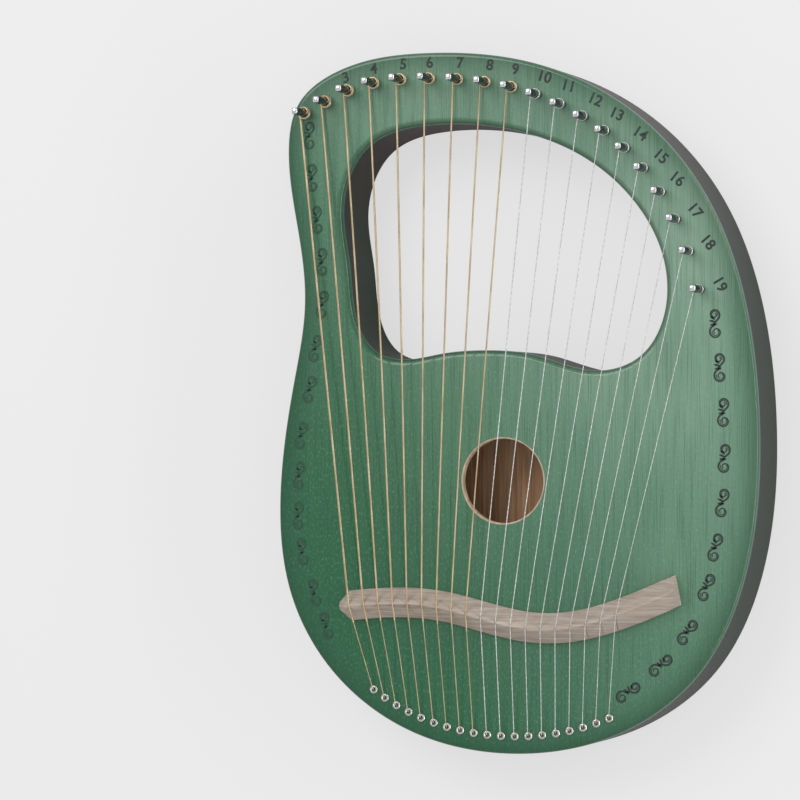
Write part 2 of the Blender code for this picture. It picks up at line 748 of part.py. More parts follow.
def pin_ring(x, y, z, flat, scale=1.0):
    """A ring of the pin: round, or squared by four flats across the given half width."""
    ring = []
    for k in range(PIN_SIDES):
        angle = 2 * math.pi * k / PIN_SIDES
        radius = PIN_DIAMETER / 2
        if flat:
            radius = min(radius, flat / max(abs(math.cos(angle)), abs(math.sin(angle))))
        ring.append((x + scale * radius * math.cos(angle), y + scale * radius * math.sin(angle), z))
    return ring


def coil_points(i):
    """The string's turns round its pin: clockwise from where it arrives, then into the pin."""
    x, y = pin_place(i)
    touch, _ = tangent(i)
    first = math.atan2(touch[1] - y, touch[0] - x)
    pitch = 2 * string_radius(i) + COIL_GAP
    steps = int(COIL_TURNS * COIL_POINTS_PER_TURN)
    points = []
    for k in range(steps + 1):
        turns = k / COIL_POINTS_PER_TURN
        angle = first - 2 * math.pi * turns
        points.append((
            x + coil_radius(i) * math.cos(angle), y + coil_radius(i) * math.sin(angle),
            exit_height(i) + pitch * turns,
        ))
    inward = first - 2 * math.pi * (steps + 1.5) / COIL_POINTS_PER_TURN
    depth = 0.3 * PIN_DIAMETER
    points.append((
        x + depth * math.cos(inward), y + depth * math.sin(inward),
        exit_height(i) + pitch * (steps + 0.5) / COIL_POINTS_PER_TURN,
    ))
    return points


def make_pin(i):
    """A tuning pin with its squared head, wound with the end of its string."""
    x, y = pin_place(i)
    foot = SOUNDBOARD_UNDER - PIN_BURIED
    head = SOUNDBOARD_TOP + PIN_EXPOSED
    flat = PIN_SQUARE / 2
    rings = [
        pin_ring(x, y, foot, 0, 0.75),
        pin_ring(x, y, foot + 0.0008, 0),
        pin_ring(x, y, head - PIN_SQUARE_LENGTH, 0),
        pin_ring(x, y, head - PIN_SQUARE_LENGTH + 0.0008, flat),
        pin_ring(x, y, head - 0.0005, flat),
        pin_ring(x, y, head, flat, 0.75),
    ]
    pin = loft(f"tuning_pin_{i + 1:02d}", rings, "pin_steel")
    points = coil_points(i)
    coil = solid_wire("coil", points, [string_radius(i)] * len(points), "plain_steel")
    combined(pin, coil, "UNION")
    shade(pin)
    # The origin sits on the pin's own axis, at the face of the soundboard.
    shift = np.array([x, y, SOUNDBOARD_TOP])
    for vertex in pin.data.vertices:
        vertex.co = vertex.co[:] - shift
    pin.location = shift
    return least_gap(points[:-1], string_radius(i), COIL_POINTS_PER_TURN // 2)


clear_scene()
make_soundboard()
make_back_board()
make_frame()
make_braces()
make_bridge()
for index in range(STRING_COUNT):
    make_string(index)
gaps = [make_pin(index) for index in range(STRING_COUNT)]
print(f"least gap between turns of a coil: {1000 * min(gaps):.2f} mm")
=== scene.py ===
"""The looks of a nineteen-string lyre harp in green stained wood, lying on its back."""

import math

import bmesh
import bpy
import numpy as np
from mathutils import Matrix, Vector
from mathutils.geometry import tessellate_polygon


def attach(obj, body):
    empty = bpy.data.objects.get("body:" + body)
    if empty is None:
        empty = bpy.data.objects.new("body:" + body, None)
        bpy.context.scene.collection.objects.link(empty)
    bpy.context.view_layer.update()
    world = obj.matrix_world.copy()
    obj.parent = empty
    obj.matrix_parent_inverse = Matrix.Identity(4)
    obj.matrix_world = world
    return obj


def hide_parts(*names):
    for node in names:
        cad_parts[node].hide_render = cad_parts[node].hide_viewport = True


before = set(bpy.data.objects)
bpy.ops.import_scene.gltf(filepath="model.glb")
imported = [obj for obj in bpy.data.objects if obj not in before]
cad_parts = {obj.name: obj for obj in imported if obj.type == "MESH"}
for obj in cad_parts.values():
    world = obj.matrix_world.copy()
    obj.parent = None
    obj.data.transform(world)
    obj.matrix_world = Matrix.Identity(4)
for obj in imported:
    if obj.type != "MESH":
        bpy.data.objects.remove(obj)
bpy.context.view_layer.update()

# The camera, the floor and the lights.
# The harp lies on a plain pale sheet and is seen from above, a little from its treble side.
# One soft box hangs above it, and a long low one lights its treble side.
LENS, SENSOR_WIDTH, CLIP_END = 161.1, 36.0, 50.0
CAMERA_PLACE = Vector((0.6871, -0.0239, 2.1443))
CAMERA_RIGHT, CAMERA_UP = Vector((0.93995, 0.00403, -0.3413)), Vector((0.0, 0.99993, 0.01181))
FLOOR_REACH, FLOOR_DROP, FLOOR_MOTTLE = 6.0, 0.0012, 3.0
FLOOR_GREY, FLOOR_PALE, SEEN_GREY = (0.79, 0.79, 0.79), (0.81, 0.81, 0.81), (0.86, 0.86, 0.86)
SEEN_SHARE, ROOM_LIGHT = 0.72, 0.62


def placed(name, data):
    """A new object in the scene."""
    made = bpy.data.objects.new(name, data)
    bpy.context.scene.collection.objects.link(made)
    return made


camera_data = bpy.data.cameras.new("camera")
camera_data.lens, camera_data.sensor_width, camera_data.clip_end = LENS, SENSOR_WIDTH, CLIP_END
camera = placed("camera", camera_data)
camera_axes = (CAMERA_RIGHT, CAMERA_UP, CAMERA_RIGHT.cross(CAMERA_UP).normalized(), CAMERA_PLACE)
camera.matrix_world = Matrix([[axis[row] for axis in camera_axes] for row in range(3)] + [[0, 0, 0, 1]])
bpy.context.scene.camera = camera


class Socket:
    """A shader value that can be written in sums: each operator adds its Math node."""

    def __init__(self, tree, link):
        self.tree, self.link = tree, link

    def maths(self, operation, *others):
        return node(self.tree, "ShaderNodeMath", {"operation": operation}, self, *others)

    def __add__(self, other):
        return self.maths("ADD", other)

    def __mul__(self, other):
        return self.maths("MULTIPLY", other)

    def __sub__(self, other):
        return self.maths("SUBTRACT", other)

    def __rsub__(self, other):
        return node(self.tree, "ShaderNodeMath", {"operation": "SUBTRACT"}, other, self)

    __radd__ = __add__
    __rmul__ = __mul__

    def between(self, low, high):
        """0 below low and 1 above high, with a smooth step between them."""
        kind = {"interpolation_type": "SMOOTHSTEP"}
        return node(self.tree, "ShaderNodeMapRange", kind, self, low, high, 0.0, 1.0)


def node(tree, kind, settings, *values, output=0):
    """Adds one shader node, with its settings first and then the values or links of its sockets."""
    made = tree.nodes.new(kind)
    for name, value in settings.items():
        setattr(made, name, value)
    sockets = [s for s in made.inputs if s.enabled]
    for i, value in enumerate(values):
        if isinstance(value, Socket):
            tree.links.new(value.link, sockets[i])
        elif value is not None:
            sockets[i].default_value = value
    outputs = [s for s in made.outputs if s.enabled]
    return Socket(tree, outputs[output])


def blended(tree, share, first, second):
    """Two colours mixed by a share."""
    pair = [(*c, 1.0) if isinstance(c, tuple) else c for c in (first, second)]
    return node(tree, "ShaderNodeMix", {"data_type": "RGBA"}, share, *pair)


def finish_of(name, slots, roughness=0.5, metallic=0.0, coat=0.0, coat_roughness=0.05, specular=0.5):
    """A new finish: slots is given its tree and says what feeds Base Color, Roughness and Normal."""
    made = bpy.data.materials.new(name)
    made.use_nodes = True
    shader = made.node_tree.nodes["Principled BSDF"]
    shader.inputs["Roughness"].default_value = roughness
    shader.inputs["Metallic"].default_value = metallic
    shader.inputs["Specular IOR Level"].default_value = specular
    shader.inputs["Coat Weight"].default_value = coat
    shader.inputs["Coat Roughness"].default_value = coat_roughness
    for socket, value in slots(made.node_tree).items():
        made.node_tree.links.new(value.link, shader.inputs[socket])
    return made


def stretched(tree, across, along, up_down):
    """Object coordinates scaled along each axis, so that a grain runs along the smallest."""
    place = node(tree, "ShaderNodeTexCoord", {}, output=3)
    scale = (across, along, up_down)
    return node(tree, "ShaderNodeVectorMath", {"operation": "MULTIPLY"}, place, scale)


def noise(tree, place, scale=1.0, detail=3.0, rough=0.55):
    return node(tree, "ShaderNodeTexNoise", {}, place, scale, detail, rough)


def bumped(tree, height, strength, distance):
    made = tree.nodes.new("ShaderNodeBump")
    made.inputs["Strength"].default_value = strength
    made.inputs["Distance"].default_value = distance
    tree.links.new(height.link, made.inputs["Height"])
    return Socket(tree, made.outputs[0])


def floor_slots(tree):
    mottle = noise(tree, stretched(tree, FLOOR_MOTTLE, FLOOR_MOTTLE, FLOOR_MOTTLE))
    return {"Base Color": blended(tree, mottle, FLOOR_GREY, FLOOR_PALE)}


floor_mesh = bpy.data.meshes.new("floor")
floor_corners = ((-1, -1), (1, -1), (1, 1), (-1, 1))
floor_mesh.from_pydata(
    [(x * FLOOR_REACH, y * FLOOR_REACH, -FLOOR_DROP) for x, y in floor_corners], [], [(0, 1, 2, 3)]
)
floor = placed("floor", floor_mesh)
pale_sheet = finish_of("pale_sheet", floor_slots, roughness=0.9)
pale_tree = pale_sheet.node_tree
rays = pale_tree.nodes.new("ShaderNodeLightPath")
glow = pale_tree.nodes.new("ShaderNodeEmission")
glow.inputs["Color"].default_value = (*SEEN_GREY, 1.0)
share_seen = Socket(pale_tree, rays.outputs[0]) * SEEN_SHARE
mix = pale_tree.nodes.new("ShaderNodeMixShader")
pale_out = next(n for n in pale_tree.nodes if n.type == "OUTPUT_MATERIAL")
pale_tree.links.new(share_seen.link, mix.inputs[0])
pale_tree.links.new(pale_tree.nodes["Principled BSDF"].outputs[0], mix.inputs[1])
pale_tree.links.new(glow.outputs[0], mix.inputs[2])
pale_tree.links.new(mix.outputs[0], pale_out.inputs[0])
floor.data.materials.append(pale_sheet)

world = bpy.data.worlds.new("soft_room")
bpy.context.scene.world = world
world.use_nodes = True
world.node_tree.nodes["Background"].inputs[0].default_value = (1.0, 1.0, 1.0, 1.0)
world.node_tree.nodes["Background"].inputs[1].default_value = ROOM_LIGHT


def soft_box(name, place, target, size, power):
    data = bpy.data.lights.new(name, "AREA")
    data.shape = "RECTANGLE"
    data.size, data.size_y = size
    data.energy = power
    lamp = placed(name, data)
    lamp.location = place
    aim = Vector(target) - Vector(place)
    lamp.rotation_euler = aim.to_track_quat("-Z", "Y").to_euler()


soft_box("soft_box_above", (-0.9, 1.1, 1.8), (0, 0, 0), size=(1.2, 1.2), power=17.0)
soft_box("soft_box_treble", (1.9, 0.1, 0.75), (0.1, 0, 0), size=(4.0, 0.4), power=26.0)
bpy.context.scene.view_settings.view_transform = "Standard"

# The soundboard: a thin plate of spruce-like wood, stained green and lacquered to a high gloss.
# Its outer edge is rounded over, the window has a wider round, and the sound hole a small one.
# The stain is darker towards the rim, and paler towards the treble side and the arch. The window's round edge
# is painted darker, as painted shade.
BODY_LENGTH, BODY_WIDTH, BODY_DEPTH, BOARD = 0.434, 0.310, 0.048, 0.0045
EDGE_ROUND, WINDOW_ROUND, HOLE_ROUND = 0.0025, 0.004, 0.0006
OUTLINE_POINTS, WINDOW_POINTS, HOLE_POINTS, CURVE_STEPS = 300, 220, 96, 60
WINDOW_SHARE, WINDOW_WIDTH, WINDOW_LEFT, WINDOW_TOP = 0.3525, 0.2105, 0.0415, 0.045
HOLE_X, HOLE_RADIUS, HOLE_BELOW_WINDOW, HOLE_LIFT = -0.0065, 0.026, 0.052, 0.010
RIM_RINGS, RIM_REACH, FACE_FROM = (0.003, 0.007, 0.011, 0.015, 0.018), 0.020, 0.04
MERGE_DISTANCE = 1e-7
GRAIN, STREAK = (1500.0, 22.0, 60.0), (260.0, 5.0, 20.0)
CLOUD, SPECKLE = (11.0, 6.0, 9.0), (900.0, 420.0, 500.0)
GREEN_DARK, GREEN_MIDDLE = (0.014, 0.128, 0.052), (0.032, 0.150, 0.075)
# The last green darkens the rim as a stain, and the window's round edge as painted shade.
GREEN_PALE, GREEN_RIM_AND_ROUND_SHADE = (0.300, 0.455, 0.340), (0.008, 0.066, 0.026)
CUT_DARK, CUT_PALE = (0.42, 0.31, 0.20), (0.62, 0.50, 0.36)
BODY_SHAPE = [
    (-0.194, 0.500), (-0.365, 0.482), (-0.465, 0.431), (-0.485, 0.364), (-0.465, 0.253),
    (-0.448, 0.143), (-0.471, 0.028), (-0.500, -0.143), (-0.477, -0.276), (-0.394, -0.382),
    (-0.232, -0.468), (0.010, -0.500), (0.216, -0.468), (0.381, -0.380), (0.470, -0.249),
    (0.500, -0.032), (0.474, 0.129), (0.397, 0.281), (0.252, 0.403), (0.026, 0.483),
]
WINDOW_SHAPE = [
    (-0.500, 0.174), (-0.480, -0.069), (-0.455, -0.299), (-0.399, -0.416), (-0.313, -0.453),
    (-0.189, -0.430), (-0.056, -0.417), (0.096, -0.436), (0.286, -0.500), (0.420, -0.443),
    (0.490, -0.286), (0.490, -0.063), (0.400, 0.174), (0.210, 0.383), (-0.009, 0.482),
    (-0.246, 0.498), (-0.423, 0.416),
]


def spline(points, count, closed=True):
    """Evenly spaced points on the smooth curve through a few given ones."""
    points = np.asarray(points, float)
    total = len(points)
    spans = total if closed else total - 1
    onward = np.roll(points, -1, axis=0)
    step = np.linalg.norm(onward - points, axis=1)[:spans]
    system, wanted = np.zeros((total, total)), np.zeros((total, 2))
    for i in range(total):
        if not closed and i in (0, total - 1):
            near, other = (0, 1) if i == 0 else (total - 2, total - 2)
            system[i, i], system[i, other] = 2.0, 1.0
            wanted[i] = 3.0 * (points[near + 1] - points[near]) / step[near]
            continue
        before, after, j = step[i - 1], step[i], (i + 1) % total
        system[i, i - 1] += after
        system[i, i] += 2.0 * (before + after)
        system[i, j] += before
        wanted[i] = 3.0 * (
            after * (points[i] - points[i - 1]) / before + before * (points[j] - points[i]) / after
        )
    slope = np.linalg.solve(system, wanted)
    t = (np.arange(CURVE_STEPS) / CURVE_STEPS)[:, None]
    fine = []
    for i in range(spans):
        j = (i + 1) % total
        fine.append(
            (2 * t**3 - 3 * t**2 + 1) * points[i] + (t**3 - 2 * t**2 + t) * step[i] * slope[i]
            + (3 * t**2 - 2 * t**3) * points[j] + (t**3 - t**2) * step[i] * slope[j]
        )
    line = np.vstack([*fine, points[:1] if closed else points[-1:]])
    run = np.concatenate([[0.0], np.cumsum(np.linalg.norm(np.diff(line, axis=0), axis=1))])
    places = np.linspace(0.0, run[-1], count, endpoint=not closed)
    return np.stack([np.interp(places, run, line[:, k]) for k in (0, 1)], axis=1)


def inset(loop, distance):
    """A closed loop moved inwards by a distance."""
    tangent = np.roll(loop, -1, axis=0) - np.roll(loop, 1, axis=0)
    tangent /= np.linalg.norm(tangent, axis=1)[:, None]
    onward = np.roll(loop, -1, axis=0)
    turning = np.sign(np.sum(loop[:, 0] * onward[:, 1] - onward[:, 0] * loop[:, 1]))
    return loop + np.stack([-tangent[:, 1], tangent[:, 0]], axis=1) * distance * turning


BODY = spline([(x * BODY_WIDTH, y * BODY_LENGTH) for x, y in BODY_SHAPE], OUTLINE_POINTS)
WINDOW_LENGTH = WINDOW_SHARE * BODY_LENGTH
WINDOW_X = -BODY_WIDTH / 2 + WINDOW_LEFT + WINDOW_WIDTH / 2
WINDOW_Y = BODY_LENGTH / 2 - WINDOW_TOP - WINDOW_LENGTH / 2
WINDOW_FOOT = WINDOW_Y - WINDOW_LENGTH / 2
WINDOW = spline(
    [(WINDOW_X + x * WINDOW_WIDTH, WINDOW_Y + y * WINDOW_LENGTH) for x, y in WINDOW_SHAPE],
    WINDOW_POINTS,
)
HOLE_Y = WINDOW_FOOT - HOLE_BELOW_WINDOW - HOLE_RADIUS + HOLE_LIFT
HOLE = np.array([
    (HOLE_X + HOLE_RADIUS * math.cos(a), HOLE_Y + HOLE_RADIUS * math.sin(a))
    for a in np.linspace(0, 2 * math.pi, HOLE_POINTS, endpoint=False)
])


def piece_of(name, vertices, faces, finishes, body="harp", smooth=30, index=None):
    """A mesh piece with its finishes, its doubles merged and its faces turned outwards."""
    data = bpy.data.meshes.new(name)
    data.from_pydata([tuple(v) for v in vertices], [], faces)
    for finish in finishes:
        data.materials.append(finish)
    if index is not None:
        data.polygons.foreach_set("material_index", index)
    mesh = bmesh.new()
    mesh.from_mesh(data)
    bmesh.ops.remove_doubles(mesh, verts=mesh.verts, dist=MERGE_DISTANCE)
    bmesh.ops.recalc_face_normals(mesh, faces=mesh.faces)
    mesh.to_mesh(data)
    mesh.free()
    data.shade_smooth()
    data.set_sharp_from_angle(angle=math.radians(smooth))
    made = placed(name, data)
    if body:
        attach(made, body)
    return made


def between_rings(rings, sides, start=0):
    """The four-sided faces between neighbouring rings of points, first ring first."""
    faces = []
    for j in range(rings - 1):
        for k in range(sides):
            a, b = start + j * sides + k, start + j * sides + (k + 1) % sides
            faces.append((a, b, b + sides, a + sides))
    return faces


def end_caps(points, sides):
    """The two faces that close the first and the last ring."""
    return [tuple(range(sides))[::-1], tuple(range(points - sides, points))]


def walled(name, walls, finishes, wall_finish=(0, 0, 0)):
    """A flat piece whose walls are stacks of rings, bottom first. The first wall is the outer one."""
    vertices, faces, index, ends = [], [], [], []
    for rings, finish in zip(walls, wall_finish):
        start, count = len(vertices), len(rings[0])
        for ring in rings:
            vertices.extend(ring)
        wall_faces = between_rings(len(rings), count, start)
        faces += wall_faces
        index += [finish] * len(wall_faces)
        ends.append((start, start + (len(rings) - 1) * count, count))
    for which in (0, 1):
        loops = [list(range(end[which], end[which] + end[2])) for end in ends]
        flat = [v for loop in loops for v in loop]
        for triangle in tessellate_polygon([[Vector(vertices[v]) for v in loop] for loop in loops]):
            faces.append(tuple(flat[i] for i in triangle))
            index.append(0)
    return piece_of(name, vertices, faces, finishes, index=index)


def level(loop, z):
    return [(x, y, z) for x, y in loop]


def rounded(loop, z, radius, outward, steps=7, settle=0.0004):
    """Rings over a round edge that ends at z, and one more on the flat so that it shades flat."""
    rings = []
    for k in range(steps + 1):
        angle = 0.5 * math.pi * k / steps
        side = radius * (1 - math.cos(angle)) * outward
        rings.append(level(inset(loop, side), z - radius * (1 - math.sin(angle))))
    rings.append(level(inset(loop, (radius + settle) * outward), z))
    return rings


def shaded(colour, share):
    return tuple(share * c for c in colour)


def stain_slots(dark, middle, pale, rim, arch_tone=None):
    """Stain over fine straight grain, darker at the rim and paler towards the treble side and the arch; the
    rim colour also paints shade on the window's round edge.
    """

    def slots(tree):
        grain = noise(tree, stretched(tree, *GRAIN), 1.0, 4.0, 0.6)
        streak = noise(tree, stretched(tree, *STREAK), 1.0, 3.0, 0.6)
        cloud = noise(tree, stretched(tree, *CLOUD), 1.0, 2.0, 0.5)
        speckle = noise(tree, stretched(tree, *SPECKLE), 1.0, 4.0, 0.7)
        place = node(tree, "ShaderNodeTexCoord", {}, output=3)
        x = node(tree, "ShaderNodeSeparateXYZ", {}, place, output=0)
        y = node(tree, "ShaderNodeSeparateXYZ", {}, place, output=1)
        shift = (x + y * 0.7).between(-0.21, 0.25)
        colour = blended(tree, shift, dark, pale)
        colour = blended(tree, cloud.between(0.3, 0.75) * 0.5, colour, middle)
        colour = blended(tree, grain.between(0.48, 0.66) * 0.34, colour, shaded(dark, 0.45))
        colour = blended(tree, streak.between(0.5, 0.72) * 0.14, colour, shaded(dark, 0.55))
        colour = blended(tree, speckle.between(0.5, 0.7) * 0.22, colour, shaded(pale, 1.1))
        if arch_tone:
            colour = blended(tree, y.between(0.09, 0.17), colour, arch_tone)
        # The rim colour: stain darkening at the board's rim, and painted shade on the window's round edge.
        colour = blended(tree, named(tree, "rim") * 0.75, colour, rim)
        return {"Base Color": colour, "Normal": bumped(tree, grain, 0.12, 0.0003)}

    return slots


def named(tree, name):
    """A value that the mesh carries under a name."""
    made = tree.nodes.new("ShaderNodeAttribute")
    made.attribute_name = name
    return Socket(tree, made.outputs["Fac"])


def rim_stain_and_round_shade(made, reach):
    """Writes how near each point is to the rim, for the darker stain there, and to the window's round, for
    painted shade there.
    """
    values = []
    for vertex in made.data.vertices:
        place = np.array(vertex.co[:2])
        to_rim = float(np.min(np.linalg.norm(BODY - place, axis=1)))
        to_window = float(np.min(np.linalg.norm(WINDOW - place, axis=1)))
        rim_share = max(0.0, 1.0 - to_rim / reach) ** 1.6
        # Painted shade: the window's round edge on the face is darkened like the rim.
        round_painted_shade = max(0.0, 1.0 - to_window / WINDOW_ROUND) ** 0.6
        values.append(max(rim_share, round_painted_shade if vertex.co[2] > FACE_FROM else 0.0))
    made.data.attributes.new("rim", "FLOAT", "POINT").data.foreach_set("value", values)


def bare_slots(dark, pale, across, along):
    """Bare wood: straight grain in a few browns, with pores."""

    def slots(tree):
        grain = noise(tree, stretched(tree, across, along, 90.0), 1.0, 5.0, 0.62)
        bands = noise(tree, stretched(tree, across * 0.2, along * 0.3, 20.0), 1.0, 2.0, 0.5)
        colour = blended(tree, grain.between(0.36, 0.66), dark, pale)
        colour = blended(tree, bands.between(0.4, 0.7) * 0.35, colour, shaded(dark, 0.7))
        return {"Base Color": colour, "Normal": bumped(tree, grain, 0.25, 0.0004)}

    return slots


green_face = finish_of(
    "green_face", stain_slots(GREEN_DARK, GREEN_MIDDLE, GREEN_PALE, GREEN_RIM_AND_ROUND_SHADE),
    roughness=0.42, coat=0.8, coat_roughness=0.05, specular=0.1,
)
pale_cut = finish_of("pale_cut", bare_slots(CUT_DARK, CUT_PALE, across=500.0, along=30.0), roughness=0.6)
face_top, face_under = BODY_DEPTH, BODY_DEPTH - BOARD
outer_wall = [level(BODY, face_under)] + rounded(BODY, face_top, EDGE_ROUND, 1)
outer_wall += [level(inset(BODY, EDGE_ROUND + far), face_top) for far in RIM_RINGS]
window_wall = [level(WINDOW, face_under)] + rounded(WINDOW, face_top, WINDOW_ROUND, -1)
hole_wall = [level(HOLE, face_under)] + rounded(HOLE, face_top, HOLE_ROUND, -1, steps=4)
soundboard = walled(
    "soundboard_face", [outer_wall, window_wall, hole_wall], [green_face, pale_cut], wall_finish=(0, 0, 1)
)
rim_stain_and_round_shade(soundboard, RIM_REACH)
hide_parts("soundboard")

# The frame: pin block, arms, window rail, ribs and tail block, glued into one ring and stained dark.
# Outside it shows as the sides of the box, and inside as the wall of the window and of the hollow.
BACK_BOARD, SIDE_WALL, TAIL_WALL, RAIL_WALL = 0.004, 0.008, 0.027, 0.013
TAIL_DEPTH, TAIL_GAP, LEFT_START, RIGHT_START = 0.052, 0.006, 0.010, 0.017
RAIL_RIGHT, RAIL_LEFT, RAIL_STEPS, NO_RIM = 0.015, 0.027, 40, 0.0001
SIDE_DARK, SIDE_MIDDLE, SIDE_PALE = (0.014, 0.034, 0.020), (0.024, 0.034, 0.024), (0.040, 0.046, 0.034)
# The first of these darkens the sides' outer wall, and the top of the window's wall as painted shade.
SIDE_RIM_AND_ROUND_SHADE, SIDE_ARCH = (0.012, 0.02, 0.014), (0.055, 0.038, 0.036)
dark_side = finish_of(
    "dark_side", stain_slots(SIDE_DARK, SIDE_MIDDLE, SIDE_PALE, SIDE_RIM_AND_ROUND_SHADE, SIDE_ARCH),
    roughness=0.55, coat=0.25, coat_roughness=0.2, specular=0.15,
)


def window_floor(x):
    """How low the window reaches at a place across it."""
    onward = np.roll(WINDOW, -1, axis=0)
    spans = [(a, b) for a, b in zip(WINDOW, onward) if (a[0] - x) * (b[0] - x) <= 0 and a[0] != b[0]]
    return min(a[1] + (b[1] - a[1]) * (x - a[0]) / (b[0] - a[0]) for a, b in spans)


TAIL_TOP = -BODY_LENGTH / 2 + TAIL_DEPTH
chamber_wall, tail_wall = inset(BODY, SIDE_WALL), inset(BODY, TAIL_WALL)
left_wall = chamber_wall[(chamber_wall[:, 0] < 0) & (chamber_wall[:, 1] < WINDOW_FOOT - LEFT_START)]
left_wall = left_wall[left_wall[:, 1] > TAIL_TOP + TAIL_GAP]
left_wall = left_wall[np.argsort(-left_wall[:, 1])]
right_wall = chamber_wall[(chamber_wall[:, 0] > 0) & (chamber_wall[:, 1] < WINDOW_FOOT - RIGHT_START)]
right_wall = right_wall[right_wall[:, 1] > TAIL_TOP + TAIL_GAP]
right_wall = right_wall[np.argsort(right_wall[:, 1])]
tail_run = tail_wall[tail_wall[:, 1] < TAIL_TOP]
tail_run = tail_run[np.argsort(tail_run[:, 0])]
rail_places = np.linspace(
    WINDOW_X + WINDOW_WIDTH / 2 - RAIL_RIGHT, WINDOW_X - WINDOW_WIDTH / 2 + RAIL_LEFT, RAIL_STEPS
)
rail_run = np.array([(x, window_floor(x) - RAIL_WALL) for x in rail_places])
CHAMBER = np.vstack([left_wall, tail_run, right_wall, rail_run])
side_walls = [[level(loop, BACK_BOARD), level(loop, face_under)] for loop in (BODY, WINDOW, CHAMBER)]
sides = walled("box_sides", side_walls, [dark_side])
# The top of the window's wall is darkened too, painted shade that carries on from the window's round edge.
rim_stain_and_round_shade(sides, NO_RIM)
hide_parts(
    "pin_block", "left_arm", "right_arm", "window_rail", "left_rib", "right_rib", "tail_block"
)

# The back board: one flat board, stained like the sides outside and left bare inside the box.
# Its lower edge is rounded over, and a round recess under each eyelet takes a string's ball end.
STRINGS, BACK_ROUND, BACK_STEPS, BACK_SETTLE, LINING = 19, 0.002, 5, 0.0004, 0.0002
EYELET_INSET, EYELET_MIDDLE, EYELET_PITCH = 0.011, 0.139, 0.0089
RECESS_RADIUS, RECESS_REACH = 0.003, 0.01
BARE_DARK, BARE_PALE = (0.50, 0.26, 0.13), (0.82, 0.50, 0.29)
BRACES = ("upper_soundboard_brace", "lower_soundboard_brace", "upper_back_brace", "lower_back_brace")
bare_wood = finish_of("bare_wood", bare_slots(BARE_DARK, BARE_PALE, across=620.0, along=16.0), roughness=0.7)
back_rings = [level(inset(BODY, BACK_ROUND + BACK_SETTLE), 0.0)]
for k in range(BACK_STEPS + 1):
    angle = 0.5 * math.pi * k / BACK_STEPS
    ring = inset(BODY, BACK_ROUND * (1 - math.sin(angle)))
    back_rings.append(level(ring, BACK_ROUND * (1 - math.cos(angle))))
back_rings.append(level(BODY, BACK_BOARD))
back_board = walled("back_face", [back_rings, [level(WINDOW, 0.0), level(WINDOW, BACK_BOARD)]], [dark_side])
rim_stain_and_round_shade(back_board, NO_RIM)


def eyelet_place(i):
    row = inset(BODY, EYELET_INSET)
    row = row[row[:, 1] < -BODY_LENGTH / 4]
    run = np.concatenate([[0.0], np.cumsum(np.linalg.norm(np.diff(row, axis=0), axis=1))])
    middle = np.interp(EYELET_MIDDLE - BODY_WIDTH / 2, row[:, 0], run)
    place = middle + (i - STRINGS // 2) * EYELET_PITCH
    return np.array([np.interp(place, run, row[:, k]) for k in (0, 1)])


def round_cutter(name, centre, radius, low, high, sides=24):
    """A short round rod that cuts a recess."""
    ring = [
        (centre[0] + radius * math.cos(a), centre[1] + radius * math.sin(a))
        for a in np.linspace(0, 2 * math.pi, sides, endpoint=False)
    ]
    faces = between_rings(2, sides) + end_caps(2 * sides, sides)
    return piece_of(name, level(ring, low) + level(ring, high), faces, [], body=None)


def plain_mesh(made):
    """What a piece looks like with its modifiers, as a mesh without them."""
    return bpy.data.meshes.new_from_object(made.evaluated_get(bpy.context.evaluated_depsgraph_get()))


def cut(piece, cutter):
    """Cuts one shape out of a piece for good."""
    modifier = piece.modifiers.new("cut", "BOOLEAN")
    modifier.operation, modifier.solver, modifier.object = "DIFFERENCE", "EXACT", cutter
    data = plain_mesh(piece)
    piece.modifiers.clear()
    piece.data = data
    bpy.data.objects.remove(cutter, do_unlink=True)


def one_of(pieces):
    """Several loose shapes as one mesh, without their finishes."""
    mesh = bmesh.new()
    for piece in pieces:
        mesh.from_mesh(piece.data)
        bpy.data.objects.remove(piece, do_unlink=True)
    data = bpy.data.meshes.new("several")
    mesh.to_mesh(data)
    mesh.free()
    return placed("several", data)


cut(back_board, one_of([
    round_cutter(f"recess_{i}", eyelet_place(i), RECESS_RADIUS, -RECESS_REACH, RECESS_REACH)
    for i in range(STRINGS)
]))
back_board.data.set_sharp_from_angle(angle=math.radians(30))
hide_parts("back_board")

lining_wall = [level(CHAMBER, BACK_BOARD), level(CHAMBER, BACK_BOARD + LINING)]
lining = walled("bare_lining", [lining_wall], [bare_wood])
for brace in BRACES:
    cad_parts[brace].data.materials.clear()
    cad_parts[brace].data.materials.append(bare_wood)

# The eyelets: nickelled brass, pressed into the tail over each string hole.
# Each is a turned flange with a rolled rim and a tube that goes down through the soundboard.
EYELET_DARK, EYELET_PALE = (0.55, 0.53, 0.48), (0.78, 0.76, 0.70)
EYELET_PROFILE = [
    (0.0010, -0.0080), (0.0017, -0.0080), (0.0017, 0.0002), (0.0024, 0.0002), (0.0026, 0.0004),
    (0.00255, 0.0007), (0.0023, 0.0010), (0.0019, 0.00115), (0.0015, 0.0011), (0.0012, 0.0008),
    (0.0010, 0.0003), (0.0010, -0.0080),
]


def metal_slots(dark, pale, scale):
    """Plated metal with a faint cloud in its colour."""

    def slots(tree):
        cloud = noise(tree, stretched(tree, scale, scale, scale), 1.0, 3.0, 0.6)
        colour = blended(tree, cloud.between(0.35, 0.7), dark, pale)
        return {"Base Color": colour, "Normal": bumped(tree, cloud, 0.05, 0.0002)}

    return slots


def turned(name, profile, sides=28):
    """A shape turned about a vertical line, from (radius, height) pairs."""
    vertices = []
    for radius, height in profile:
        for k in range(sides):
            angle = 2 * math.pi * k / sides
            vertices.append((radius * math.cos(angle), radius * math.sin(angle), height))
    return piece_of(name, vertices, between_rings(len(profile), sides), [], body=None)


